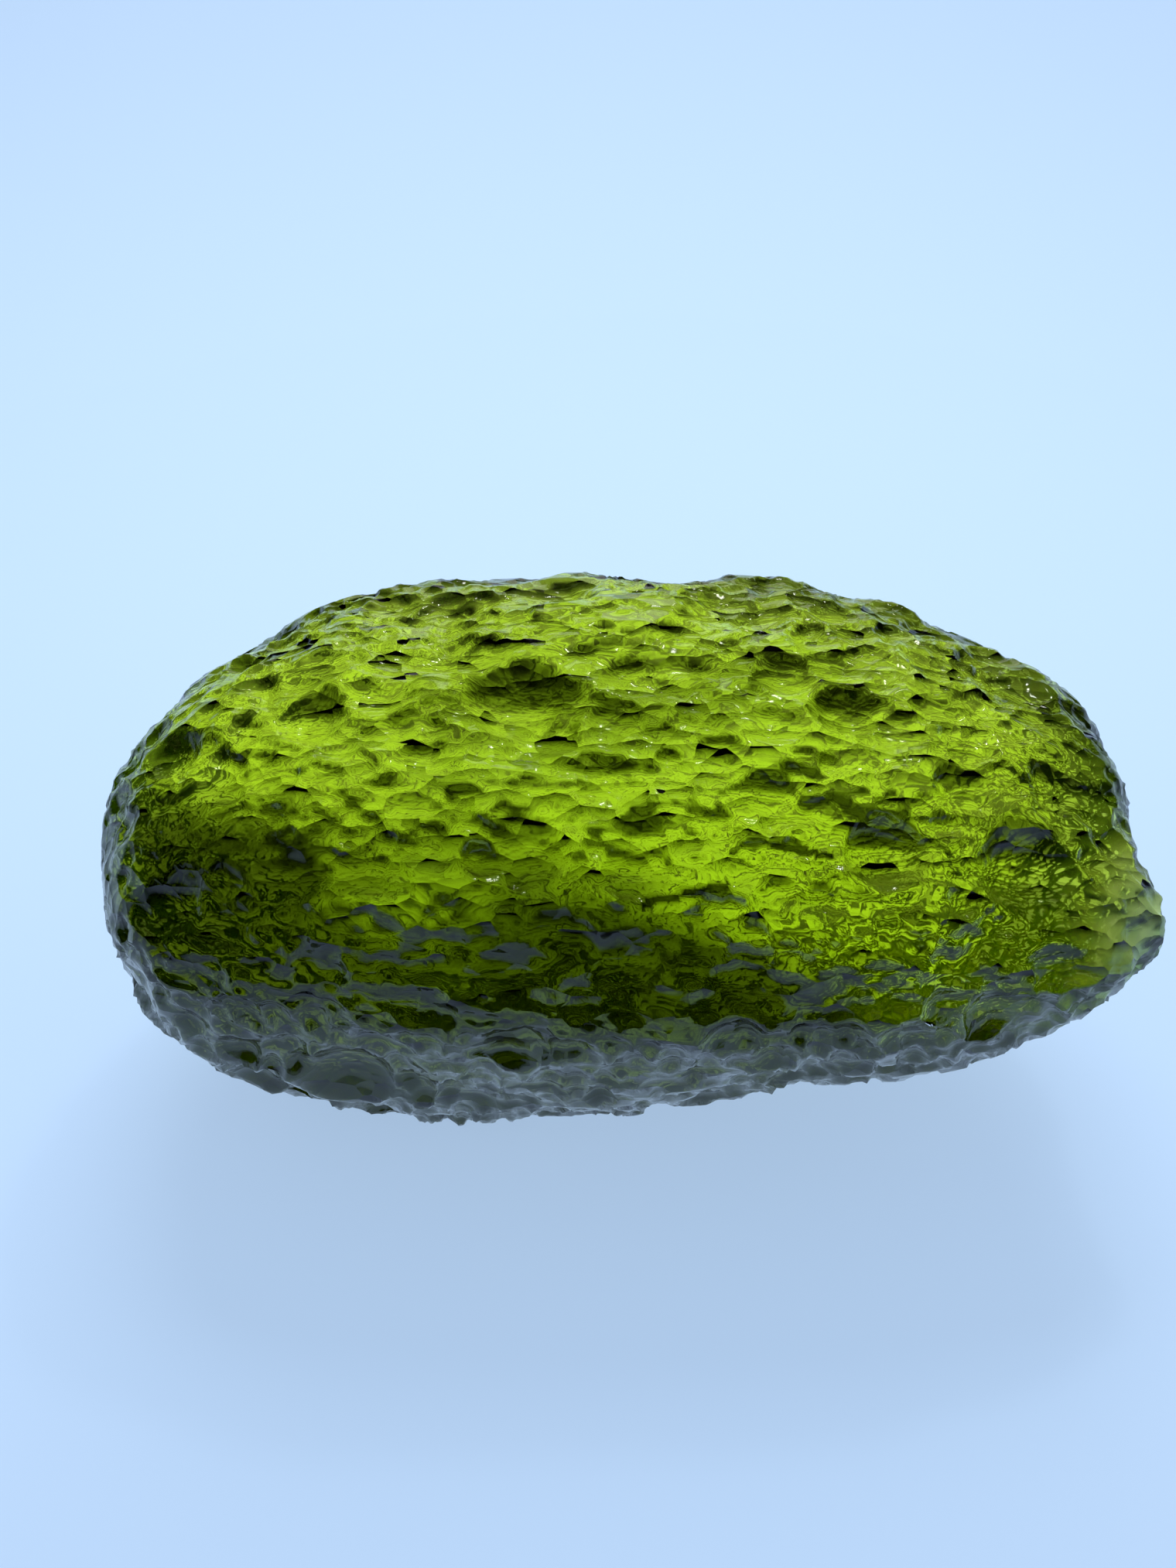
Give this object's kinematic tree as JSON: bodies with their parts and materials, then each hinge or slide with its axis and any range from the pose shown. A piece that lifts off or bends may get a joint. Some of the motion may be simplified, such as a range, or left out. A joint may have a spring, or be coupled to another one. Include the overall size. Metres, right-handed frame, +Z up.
{
  "type": "raw moldavite stone",
  "caption": "Raw moldavite: a loaf-shaped lump of clear green natural glass with a deeply pitted skin and a small spur at one end, lying on its belly.",
  "frame": {"origin": "on the resting facet's plane, under the middle of the stone's length and width", "axes": "+X along the stone towards the spur, -Y towards the broad pitted front, +Z up"},
  "size_m": [0.0408, 0.0254, 0.0186],
  "materials": {
    "green_glass": "see-through bottle-green natural glass, absorbing red and blue with depth, with an etched satin skin"
  },
  "bodies": {
    "root": {"moldavite": "green_glass"}
  },
  "joints": []
}
